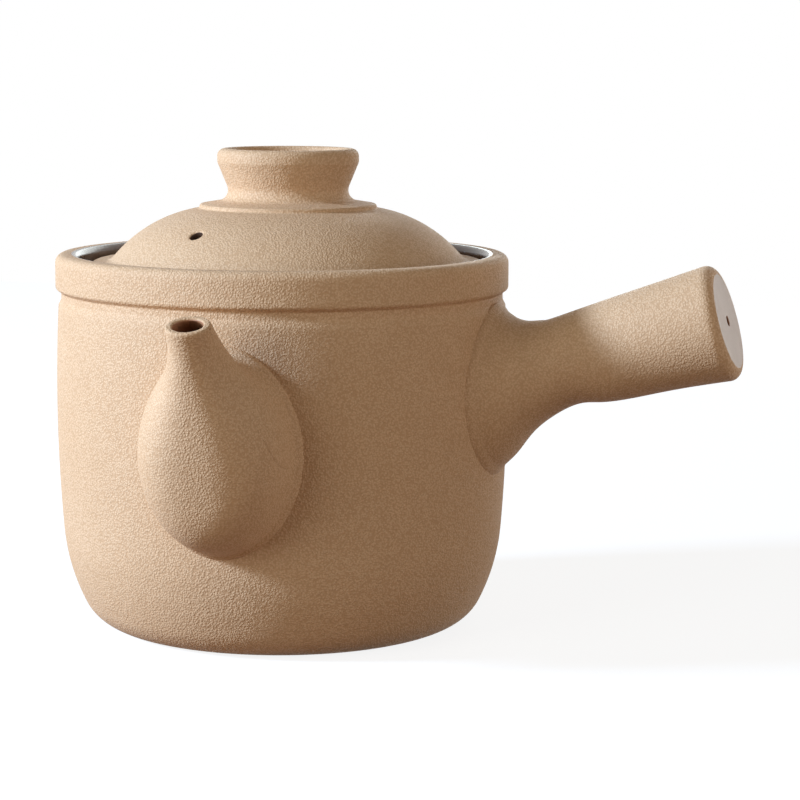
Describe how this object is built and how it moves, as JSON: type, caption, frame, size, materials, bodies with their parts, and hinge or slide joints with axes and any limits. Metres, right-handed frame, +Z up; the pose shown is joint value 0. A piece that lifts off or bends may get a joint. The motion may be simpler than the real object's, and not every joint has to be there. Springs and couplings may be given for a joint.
{
  "type": "herbal medicine pot",
  "caption": "Round clay pot for simmering herbs, with a short side spout, a straight swelling side handle and a loose domed lid with a cupped knob.",
  "frame": {"origin": "centre of the pot's flat base, on the axis of the round body", "axes": "+Z up, +X towards the handle; the spout points almost along -Y"},
  "size_m": [0.2777, 0.225, 0.192],
  "materials": {
    "pot_clay": "matt",
    "handle_clay": "matt",
    "lid_clay": "matt"
  },
  "bodies": {
    "pot": {"pot_body": "pot_clay", "spout": "pot_clay", "handle": "handle_clay"},
    "lid": {"lid": "lid_clay", "lid_knob": "lid_clay"}
  },
  "joints": [
    {"name": "lid_lift", "type": "slide", "parent": "pot", "child": "lid", "axis": [0, 0, 1], "range_m": [0, 0.08]}
  ]
}
